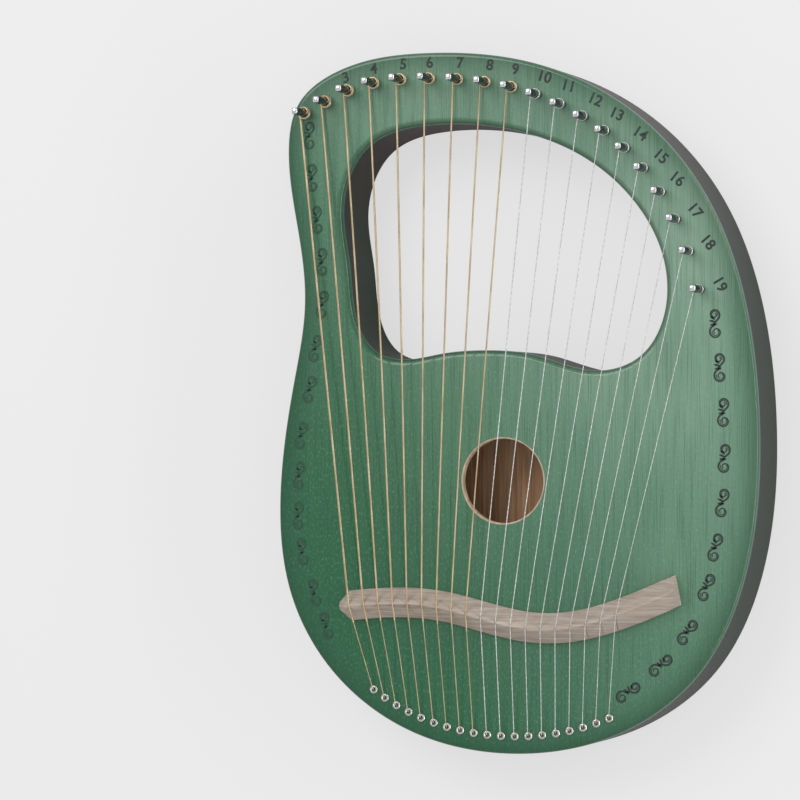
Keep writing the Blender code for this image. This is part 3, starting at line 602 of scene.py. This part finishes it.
def repeated(name, places, unit, finish):
    """Geometry Nodes: one unit shape at each place, given as (x, y, z, turn)."""
    points = bpy.data.meshes.new(name)
    points.from_pydata([p[:3] for p in places], [], [])
    points.attributes.new("turn", "FLOAT", "POINT").data.foreach_set("value", [p[3] for p in places])
    made = placed(name, points)
    tree = bpy.data.node_groups.new(f"{name}_row", "GeometryNodeTree")
    tree.interface.new_socket("Geometry", in_out="INPUT", socket_type="NodeSocketGeometry")
    tree.interface.new_socket("Unit", in_out="INPUT", socket_type="NodeSocketObject")
    tree.interface.new_socket("Size", in_out="INPUT", socket_type="NodeSocketFloat")
    tree.interface.new_socket("Geometry", in_out="OUTPUT", socket_type="NodeSocketGeometry")
    kinds = {
        "start": "NodeGroupInput", "end": "NodeGroupOutput", "unit": "GeometryNodeObjectInfo",
        "points": "GeometryNodeMeshToPoints", "turn": "GeometryNodeInputNamedAttribute",
        "axis": "ShaderNodeCombineXYZ", "copies": "GeometryNodeInstanceOnPoints",
        "real": "GeometryNodeRealizeInstances", "finish": "GeometryNodeSetMaterial",
    }
    parts = {key: tree.nodes.new(kind) for key, kind in kinds.items()}
    parts["turn"].inputs["Name"].default_value = "turn"
    parts["finish"].inputs["Material"].default_value = finish
    link = tree.links.new
    link(parts["start"].outputs["Geometry"], parts["points"].inputs["Mesh"])
    link(parts["start"].outputs["Unit"], parts["unit"].inputs["Object"])
    link(parts["points"].outputs["Points"], parts["copies"].inputs["Points"])
    link(parts["unit"].outputs["Geometry"], parts["copies"].inputs["Instance"])
    link(parts["turn"].outputs["Attribute"], parts["axis"].inputs["Z"])
    link(parts["axis"].outputs[0], parts["copies"].inputs["Rotation"])
    link(parts["start"].outputs["Size"], parts["copies"].inputs["Scale"])
    link(parts["copies"].outputs[0], parts["real"].inputs[0])
    link(parts["real"].outputs[0], parts["finish"].inputs["Geometry"])
    link(parts["finish"].outputs[0], parts["end"].inputs["Geometry"])
    modifier = made.modifiers.new("row", "NODES")
    modifier.node_group = tree
    named_inputs = {s.name: s.identifier for s in tree.interface.items_tree if s.in_out == "INPUT"}
    modifier[named_inputs["Unit"]] = unit
    modifier[named_inputs["Size"]] = 1.0
    bpy.context.view_layer.update()
    data = plain_mesh(made)
    made.modifiers.clear()
    made.data = data
    bpy.data.objects.remove(unit, do_unlink=True)
    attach(made, "harp")
    return made


eyelet_metal = finish_of(
    "eyelet_metal", metal_slots(EYELET_DARK, EYELET_PALE, scale=900.0), roughness=0.22, metallic=1.0
)
eyelets = repeated(
    "eyelets", [(*eyelet_place(i), BODY_DEPTH, 0.0) for i in range(STRINGS)],
    turned("eyelet_unit", EYELET_PROFILE), eyelet_metal,
)

# The bridge: a bar of pale maple, sawn to a wave, with a roof-shaped section and a pointed bass end.
# A slot is sawn across its ridge for each string and runs on down the slope to the tail.
FIRST_STRING, STRING_PITCH, WOUND = 0.052, 0.0096, 9
WOUND_THICK, WOUND_TAPER, PLAIN_THICK, PLAIN_TAPER = 0.00068, 0.0002, 0.00032, 0.0001
BRIDGE_BASS_END, BRIDGE_TREBLE_END, BRIDGE_UP = 0.0025, 0.036, 0.089
SEAT_GAP, BRIDGE_HEIGHT, BRIDGE_STEPS = 0.0003, 0.0125, 120
NOSE, NOSE_SHARES, END_RINGS, END_ACROSS = 0.0079, (0.0, 0.15, 0.4, 0.7), 4, (-0.20, 0.98)
SLOT_LEAST, SLOT_PLAY, SLOT_ABOVE = 0.0004, 0.00005, 0.002
MAPLE_DARK, MAPLE_PALE = (0.40, 0.32, 0.265), (0.56, 0.475, 0.41)
BRIDGE_WAVE = [
    (0.00, 0.0005), (0.14, 0.0029), (0.29, 0.0010), (0.42, -0.0052), (0.56, -0.0107),
    (0.68, -0.0098), (0.80, -0.0035), (1.00, 0.0137),
]
ROOF = [
    (-0.0090, 0.0), (0.0090, 0.0), (0.00925, 0.0006), (0.00925, 0.0026), (0.0088, 0.0034),
    (0.0050, 0.0078), (0.0012, 0.0121), (0.0006, 0.0127), (-0.0006, 0.0127), (-0.0012, 0.0121),
    (-0.0050, 0.0078), (-0.0088, 0.0034), (-0.00925, 0.0026), (-0.00925, 0.0006),
]
BRIDGE_LENGTH = (STRINGS - 1) * STRING_PITCH + BRIDGE_BASS_END + BRIDGE_TREBLE_END
BRIDGE_START = -BODY_WIDTH / 2 + FIRST_STRING - BRIDGE_BASS_END
BRIDGE_MIDDLE = -BODY_LENGTH / 2 + BRIDGE_UP
BRIDGE_BASE, BRIDGE_TOP = BODY_DEPTH, BODY_DEPTH + SEAT_GAP + BRIDGE_HEIGHT
SLOT_RUN = ((-0.0035, BRIDGE_TOP - 0.0006), (0.0012, BRIDGE_TOP - 0.0009), (0.0105, BRIDGE_BASE + 0.0016))
maple = finish_of(
    "maple", bare_slots(MAPLE_DARK, MAPLE_PALE, across=40.0, along=900.0),
    roughness=0.6, coat=0.05, coat_roughness=0.3,
)
bridge_line = spline(
    [(BRIDGE_START + a * BRIDGE_LENGTH, BRIDGE_MIDDLE + b) for a, b in BRIDGE_WAVE],
    BRIDGE_STEPS, closed=False,
)
ahead = np.gradient(bridge_line, axis=0)
ahead /= np.linalg.norm(ahead, axis=1)[:, None]
across = np.stack([-ahead[:, 1], ahead[:, 0]], axis=1)
across[-END_RINGS:] = END_ACROSS


def roof_ring(place, side, wide, tall):
    """The bridge's section at a place, drawn in by a share each way."""
    return [
        (place[0] + side[0] * s * wide, place[1] + side[1] * s * wide, BRIDGE_BASE + h * tall)
        for s, h in ROOF
    ]


bridge_rings = []
for share in NOSE_SHARES:
    place = bridge_line[0] - ahead[0] * NOSE * (1 - share)
    bridge_rings.append(roof_ring(place, across[0], 0.28 + 0.72 * share, 0.18 + 0.80 * share))
bridge_rings += [roof_ring(place, side, 1.0, 1.0) for place, side in zip(bridge_line, across)]
bridge_points = [p for ring in bridge_rings for p in ring]
bridge_faces = end_caps(len(bridge_points), len(ROOF)) + between_rings(len(bridge_rings), len(ROOF))
bridge = piece_of("bridge_bar", bridge_points, bridge_faces, [maple])


def bridge_place(i):
    x = -BODY_WIDTH / 2 + FIRST_STRING + i * STRING_PITCH
    return np.array([x, np.interp(x, bridge_line[:, 0], bridge_line[:, 1])])


def string_radius(i):
    if i < WOUND:
        return WOUND_THICK - WOUND_TAPER * i / (WOUND - 1)
    return PLAIN_THICK - PLAIN_TAPER * (i - WOUND) / (STRINGS - WOUND - 1)


def string_slot(i):
    """A saw cut over the ridge and down the slope on the tail side."""
    place = bridge_place(i)
    away = eyelet_place(i) - place
    away /= np.linalg.norm(away)
    side = np.array([-away[1], away[0]])
    half = max(string_radius(i), SLOT_LEAST) + SLOT_PLAY
    points = []
    for along, low in SLOT_RUN:
        for s in (-half, half):
            at = place + away * along + side * s
            points += [(at[0], at[1], low), (at[0], at[1], BRIDGE_TOP + SLOT_ABOVE)]
    quads = []
    for j in (0, 4):
        quads += [
            (j, j + 1, j + 5, j + 4), (j + 2, j + 6, j + 7, j + 3),
            (j, j + 4, j + 6, j + 2), (j + 1, j + 3, j + 7, j + 5),
        ]
    quads += [(0, 2, 3, 1), (8, 9, 11, 10)]
    return piece_of(f"slot_{i}", points, quads, [], body=None)


cut(bridge, one_of([string_slot(i) for i in range(STRINGS)]))
bridge.data.set_sharp_from_angle(angle=math.radians(32))
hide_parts("bridge")

# The strings: nine of bronze wound on a steel core, then ten of plain steel.
# Each leaves its coil, runs over the bridge and goes down its eyelet to a ball end in the back.
PIN_RADIUS, PIN_FIRST, PIN_LAST, PIN_TREBLE_SPREAD = 0.0025, 0.0764, -0.2164, 0.4
PIN_INSET_SHARES, PIN_INSETS = (0.0, 0.06, 0.70, 1.0), (0.0085, 0.0150, 0.0195, 0.0240)
COIL_STEPS, COIL_TURNS, COIL_PLAY, COIL_PITCH_PLAY = 28, 2.5, 0.00015, 0.0001
WOUND_EXIT, PLAIN_EXIT, CORE, WIRE_SIDES = 0.0025, 0.006, 0.0003, 10
COIL_OVERLAP, EYELET_RISE, RIDGE_SINK, WINDING_END = 0.0002, 0.0011, 0.0001, 0.011
SPAN_SHARES, DOWN_RUN = np.linspace(0.0, 0.985, 24), (0.0, 0.0004, 0.0104, 0.0112)
EYELET_RUN = ((0.002, 0.0), (0.0009, 0.00012), (0.0003, 0.0005), (0.0, 0.0014), (0.0, 0.02), (0.0, 0.0478))
BRONZE_DARK, BRONZE_PALE = (0.50, 0.37, 0.22), (0.74, 0.60, 0.40)
STEEL_DARK, STEEL_PALE = (0.62, 0.62, 0.60), (0.84, 0.84, 0.82)
BALL_PROFILE = [
    (0.0, 0.0009), (0.0017, 0.0009), (0.0019, 0.0012), (0.0019, 0.0036), (0.0017, 0.0039), (0.0, 0.0039),
]


def wire_slots(dark, pale, pitch):
    """Drawn or wound wire. The winding is a fine ripple along the wire, painted darker in its troughs as
    painted shade in the grooves.
    """

    def slots(tree):
        place = node(tree, "ShaderNodeTexCoord", {}, output=3)
        kind = {"wave_type": "BANDS", "bands_direction": "Y"}
        turns = node(tree, "ShaderNodeTexWave", kind, place, pitch, 0.4, 1.0)
        worn = noise(tree, stretched(tree, 400.0, 60.0, 400.0))
        colour = blended(tree, worn.between(0.3, 0.7), dark, pale)
        # Painted shade: darker in the ripple's troughs, the grooves between turns.
        colour = blended(tree, (1 - turns) * 0.35, colour, shaded(dark, 0.5))
        return {"Base Color": colour, "Normal": bumped(tree, turns, 0.25, 0.0001)}

    return slots


def tube(points, radii, sides=WIRE_SIDES):
    """The points and faces of a closed round wire through points, with a radius at each."""
    points = [Vector(p) for p in points]
    side = None
    vertices = []
    for i, point in enumerate(points):
        run = (points[min(i + 1, len(points) - 1)] - points[max(i - 1, 0)]).normalized()
        if side is None:
            side = run.orthogonal().normalized()
        side = (side - run * side.dot(run)).normalized()
        other = run.cross(side)
        for k in range(sides):
            angle = 2 * math.pi * k / sides
            vertices.append(point + radii[i] * (math.cos(angle) * side + math.sin(angle) * other))
    return vertices, between_rings(len(points), sides) + end_caps(len(vertices), sides)


def at_share(loop, share):
    """The point at a share of the way round a loop."""
    place = share * len(loop)
    i = int(math.floor(place))
    part = place - i
    return loop[i % len(loop)] * (1 - part) + loop[(i + 1) % len(loop)] * part


def pin_place(i):
    even = i / (STRINGS - 1)
    share = even - PIN_TREBLE_SPREAD * even**4 * (1 - even)
    edge = float(np.interp(share, PIN_INSET_SHARES, PIN_INSETS))
    return at_share(inset(BODY, edge), PIN_FIRST + share * (PIN_LAST - PIN_FIRST))


def coil_radius(i):
    return PIN_RADIUS + COIL_PLAY + string_radius(i)


def exit_height(i):
    return BODY_DEPTH + (WOUND_EXIT if i < WOUND else PLAIN_EXIT)


def tangent(i):
    """Where a string touches its coil, and the way it runs there from the bridge."""
    bridge_at = bridge_place(i)
    run = pin_place(i) - bridge_at
    reach = float(np.linalg.norm(run))
    swing = math.asin(coil_radius(i) / reach)
    way = run / reach
    way = np.array([
        way[0] * math.cos(swing) - way[1] * math.sin(swing),
        way[0] * math.sin(swing) + way[1] * math.cos(swing),
    ])
    return bridge_at + way * reach * math.cos(swing), way


bronze = finish_of(
    "wound_bronze", wire_slots(BRONZE_DARK, BRONZE_PALE, pitch=420.0), roughness=0.38, metallic=0.7
)
steel = finish_of("plain_steel", wire_slots(STEEL_DARK, STEEL_PALE, pitch=90.0), roughness=0.34, metallic=0.8)
for i in range(STRINGS):
    radius = string_radius(i)
    core = CORE if i < WOUND else radius
    touch, way = tangent(i)
    start = touch - way * COIL_OVERLAP
    ridge, eye = bridge_place(i), eyelet_place(i)
    down = eye - ridge
    reach = float(np.linalg.norm(down))
    down /= reach
    mouth = BODY_DEPTH + EYELET_RISE + core + SEAT_GAP
    rest_top = BRIDGE_TOP - RIDGE_SINK
    fall = (rest_top - mouth) / reach
    points, radii, slots = [], [], []
    for share in SPAN_SHARES:
        at = start + (ridge - start) * share
        points.append((*at, exit_height(i) + (rest_top - exit_height(i)) * share))
        radii.append(radius)
        slots.append(0)
    for along in DOWN_RUN:
        points.append((*(ridge + down * along), rest_top - fall * along))
        radii.append(radius if along < WINDING_END else core)
        slots.append(0)
    for short, low in EYELET_RUN:
        points.append((*(eye - down * short), mouth + fall * short - low))
        radii.append(core)
        slots.append(1 if i < WOUND else 0)
    vertices, faces = tube(points, radii)
    index = [slot for slot in slots[:-1] for _ in range(WIRE_SIDES)] + [slots[0], slots[-2]]
    finishes = [bronze if i < WOUND else steel, steel]
    string = piece_of(f"string_wire_{i + 1:02d}", vertices, faces, finishes, smooth=50, index=index)
    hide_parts(f"string_{i + 1:02d}")

ball_ends = repeated(
    "ball_ends", [(*eyelet_place(i), 0.0, 0.0) for i in range(STRINGS)],
    turned("ball_unit", BALL_PROFILE), eyelet_metal,
)

# The tuning pins: steel, dark nickel plated, driven into the pin block, with a squared head for a key.
# The end of each string is wound two and a half turns round its pin and pushed into a cross hole.
SQUARE_HALF, PIN_SIDES, TIP_STATIONS = 0.0020, 32, 4
PIN_STATIONS = [
    (-0.012, 0, 0.75), (-0.0112, 0, 1.0), (0.0128, 0, 1.0), (0.0135, 0, 1.0), (0.0143, 1, 1.0),
    (0.0198, 1, 1.0), (0.0204, 1, 0.90), (0.0207, 0, 0.62), (0.0209, 0, 0.40), (0.021, 0, 0.0),
]
TAIL_TURN, TAIL_RISE, TAIL_INSIDE = 0.12, 0.06, 0.0015
PIN_DARK, PIN_PALE = (0.11, 0.11, 0.125), (0.30, 0.30, 0.33)
# The pins' chamfered tips are a pale metal, a painted highlight on the dark pins.
TIP_HIGHLIGHT_DARK, TIP_HIGHLIGHT_PALE = (0.72, 0.72, 0.76), (0.90, 0.90, 0.93)
pin_tip_highlight = finish_of("pin_tip_highlight", metal_slots(TIP_HIGHLIGHT_DARK, TIP_HIGHLIGHT_PALE, scale=500.0), roughness=0.12, metallic=1.0)
pin_nickel = finish_of(
    "pin_nickel", metal_slots(PIN_DARK, PIN_PALE, scale=500.0), roughness=0.16, metallic=1.0
)


def coil_line(i):
    """The line of a string's turns round its pin, and its end inside the cross hole."""
    x, y = pin_place(i)
    touch, _ = tangent(i)
    first = math.atan2(touch[1] - y, touch[0] - x)
    pitch = 2 * string_radius(i) + COIL_PITCH_PLAY
    line = []
    for k in range(int(COIL_TURNS * COIL_STEPS) + 1):
        turns = k / COIL_STEPS
        angle = first - 2 * math.pi * turns
        at = (x + coil_radius(i) * math.cos(angle), y + coil_radius(i) * math.sin(angle))
        line.append((*at, exit_height(i) + pitch * turns))
    last = first - 2 * math.pi * (COIL_TURNS + TAIL_TURN)
    at = (x + TAIL_INSIDE * math.cos(last), y + TAIL_INSIDE * math.sin(last))
    line.append((*at, exit_height(i) + pitch * (COIL_TURNS + TAIL_RISE)))
    return line


for i in range(STRINGS):
    x, y = pin_place(i)
    vertices = []
    for height, squared, scale in PIN_STATIONS:
        for k in range(PIN_SIDES):
            angle = 2 * math.pi * k / PIN_SIDES
            radius = PIN_RADIUS
            if squared:
                radius = min(radius, SQUARE_HALF / max(abs(math.cos(angle)), abs(math.sin(angle))))
            at = (x + scale * radius * math.cos(angle), y + scale * radius * math.sin(angle))
            vertices.append((*at, BODY_DEPTH + height))
    faces = between_rings(len(PIN_STATIONS), PIN_SIDES) + [tuple(range(PIN_SIDES))[::-1]]
    shank_faces = (len(PIN_STATIONS) - TIP_STATIONS) * PIN_SIDES
    # Finish 2 is the pale tip, the painted highlight.
    index = [0] * shank_faces + [2] * (len(faces) - 1 - shank_faces) + [0]
    line = coil_line(i)
    points, loops = tube(line, [string_radius(i)] * len(line))
    offset = len(vertices)
    vertices += [tuple(p) for p in points]
    faces += [tuple(v + offset for v in loop) for loop in loops]
    index += [1] * len(loops)
    pin = piece_of(
        f"pin_{i + 1:02d}_wound", vertices, faces, [pin_nickel, bronze if i < WOUND else steel, pin_tip_highlight],
        body=f"pin_{i + 1:02d}", index=index, smooth=35,
    )
    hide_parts(f"tuning_pin_{i + 1:02d}")

# The numbers beside the pins and the row of scrolls along both edges, burnt into the soundboard.
# Each scroll is two spirals back to back with three small leaves.
INK_HEIGHT, FIRST_NUMBER = 0.00008, 2
NUMBER_SIZE, NUMBER_BOLD, NUMBER_TURN = 0.0094, 0.00022, 0.8
NUMBER_REACH, NUMBER_FROM_RIM = 0.0120, 0.0066
BURNT_DARK, BURNT_WORN = (0.012, 0.018, 0.016), (0.03, 0.055, 0.042)
FAINT_DARK, FAINT_WORN = (0.015, 0.055, 0.030), (0.022, 0.095, 0.050)


def ink_slots(dark, worn_to):
    """A burnt line, a little worn in places."""

    def slots(tree):
        worn = noise(tree, stretched(tree, 900.0, 900.0, 900.0))
        return {"Base Color": blended(tree, worn.between(0.35, 0.75), dark, worn_to)}

    return slots


burnt_line = finish_of("burnt_line", ink_slots(BURNT_DARK, BURNT_WORN), roughness=0.6)
faint_line = finish_of("faint_line", ink_slots(FAINT_DARK, FAINT_WORN), roughness=0.6)
numbers = []
for i in range(FIRST_NUMBER, STRINGS):
    pin = pin_place(i)
    nearest = BODY[np.argmin(np.linalg.norm(BODY - pin, axis=1))]
    to_rim = float(np.linalg.norm(nearest - pin))
    outward = (nearest - pin) / to_rim
    curve = bpy.data.curves.new(f"number_{i}", "FONT")
    curve.body, curve.size, curve.offset = str(i + 1), NUMBER_SIZE, NUMBER_BOLD
    curve.align_x, curve.align_y = "CENTER", "CENTER"
    curve.extrude = INK_HEIGHT / 2
    curve.resolution_u = 3
    text = placed(f"number_{i}", curve)
    bpy.context.view_layer.update()
    data = plain_mesh(text)
    bpy.data.objects.remove(text, do_unlink=True)
    at = pin + outward * min(NUMBER_REACH, to_rim - NUMBER_FROM_RIM)
    turn = (math.atan2(outward[1], outward[0]) - math.pi / 2) * NUMBER_TURN
    move = Matrix.Translation((at[0], at[1], BODY_DEPTH + INK_HEIGHT / 2))
    data.transform(move @ Matrix.Rotation(turn, 4, "Z"))
    numbers.append(placed(f"number_{i}", data))
pin_numbers = one_of(numbers)
pin_numbers.name = "pin_numbers"
pin_numbers.data.materials.append(burnt_line)
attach(pin_numbers, "harp")


def ribbon(points, widths):
    """A flat burnt line, standing a hair over the lacquer."""
    points = np.asarray(points)
    run = np.gradient(points, axis=0)
    run /= np.linalg.norm(run, axis=1)[:, None]
    side = np.stack([-run[:, 1], run[:, 0]], axis=1) * np.asarray(widths)[:, None] / 2
    low = [(*p, -INK_HEIGHT) for p in points - side] + [(*p, -INK_HEIGHT) for p in points + side]
    high = [(*p, INK_HEIGHT) for p in points - side] + [(*p, INK_HEIGHT) for p in points + side]
    n = len(points)
    faces = []
    for j in range(n - 1):
        faces += [
            (j, n + j, n + j + 1, j + 1), (2 * n + j, 2 * n + j + 1, 3 * n + j + 1, 3 * n + j),
            (j, j + 1, 2 * n + j + 1, 2 * n + j), (n + j, 3 * n + j, 3 * n + j + 1, n + j + 1),
        ]
    faces += [(0, 2 * n, 3 * n, n), (n - 1, 2 * n - 1, 4 * n - 1, 3 * n - 1)]
    return low + high, faces


CURLS = ((1, 0.0036, 0.0056), (-1, 0.0041, 0.0050))
LEAVES = ((0.0026, 0.0034, 0.80), (0.0012, 0.0038, 0.90), (-0.0002, 0.0034, 1.02))
CURL_STEPS, STEM_STEPS, INNER_STEPS = 36, 8, 20
CURL_FROM, CURL_TURN, CURL_CLOSING = -0.30 * math.pi, 2 * math.pi * 1.30, 0.76
INNER_SHARE, INNER_AHEAD, INNER_WIDTH = 0.62, 0.5, 0.0005


def scroll_unit():
    """Two curls on one stem, each with a fine inner line, and three leaves."""
    share, leaf_share = np.linspace(0, 1, CURL_STEPS), np.linspace(0, 1, STEM_STEPS)
    stem, foot = leaf_share[:-1], np.array([-0.0010, 0.0])
    vertices, faces, strokes = [], [], []
    for sign, size, middle in CURLS:
        radius = size * (1 - CURL_CLOSING * share)
        angle = CURL_FROM + CURL_TURN * share
        curl = np.stack([radius * np.cos(angle), middle + radius * np.sin(angle)], axis=1)
        line = np.vstack([foot + np.outer(stem, curl[0] - foot), curl]) * sign
        strokes.append((line, np.concatenate([0.0010 + 0.0002 * stem, 0.0012 - 0.0006 * share])))
        near, ahead_of = INNER_SHARE * radius, angle + INNER_AHEAD
        inner = np.stack([near * np.cos(ahead_of), middle + near * np.sin(ahead_of)], axis=1)
        strokes.append((inner[:INNER_STEPS] * sign, np.full(INNER_STEPS, INNER_WIDTH)))
    for rise, far, turn in LEAVES:
        away = np.array([math.cos(math.pi * turn), math.sin(math.pi * turn)])
        leaf = np.array([0.0002, rise]) + np.outer(far * leaf_share, away)
        strokes.append((leaf, 0.0004 + 0.0010 * np.sin(math.pi * leaf_share)))
    for line, widths in strokes:
        points, loops = ribbon(line, widths)
        offset = len(vertices)
        vertices += points
        faces += [tuple(v + offset for v in loop) for loop in loops]
    return piece_of("scroll_unit", vertices, faces, [], body=None)


SCROLLS_RIGHT = [
    (0.1281, 0.0469), (0.1310, 0.0203), (0.1335, -0.0068), (0.1342, -0.0345), (0.1331, -0.0614),
    (0.1288, -0.0883), (0.1233, -0.1125), (0.1115, -0.1399), (0.0947, -0.1603), (0.0742, -0.1772),
]
SCROLLS_LEFT = [
    (-0.1354, 0.1672), (-0.1335, 0.1405), (-0.1300, 0.1140), (-0.1265, 0.0875), (-0.1261, 0.0607),
    (-0.1307, 0.0331), (-0.1343, 0.0073), (-0.1399, -0.0216), (-0.1412, -0.0468), (-0.1417, -0.0720),
    (-0.1389, -0.0946), (-0.1307, -0.1202), (-0.1225, -0.1407),
]
rows = {"treble_scrolls": (SCROLLS_RIGHT, burnt_line), "bass_scrolls": (SCROLLS_LEFT, faint_line)}
for name, (row, finish) in rows.items():
    run = np.gradient(np.array(row), axis=0)
    places = [(x, y, BODY_DEPTH, math.atan2(dy, dx) + math.pi / 2) for (x, y), (dx, dy) in zip(row, run)]
    repeated(name, places, scroll_unit(), finish)
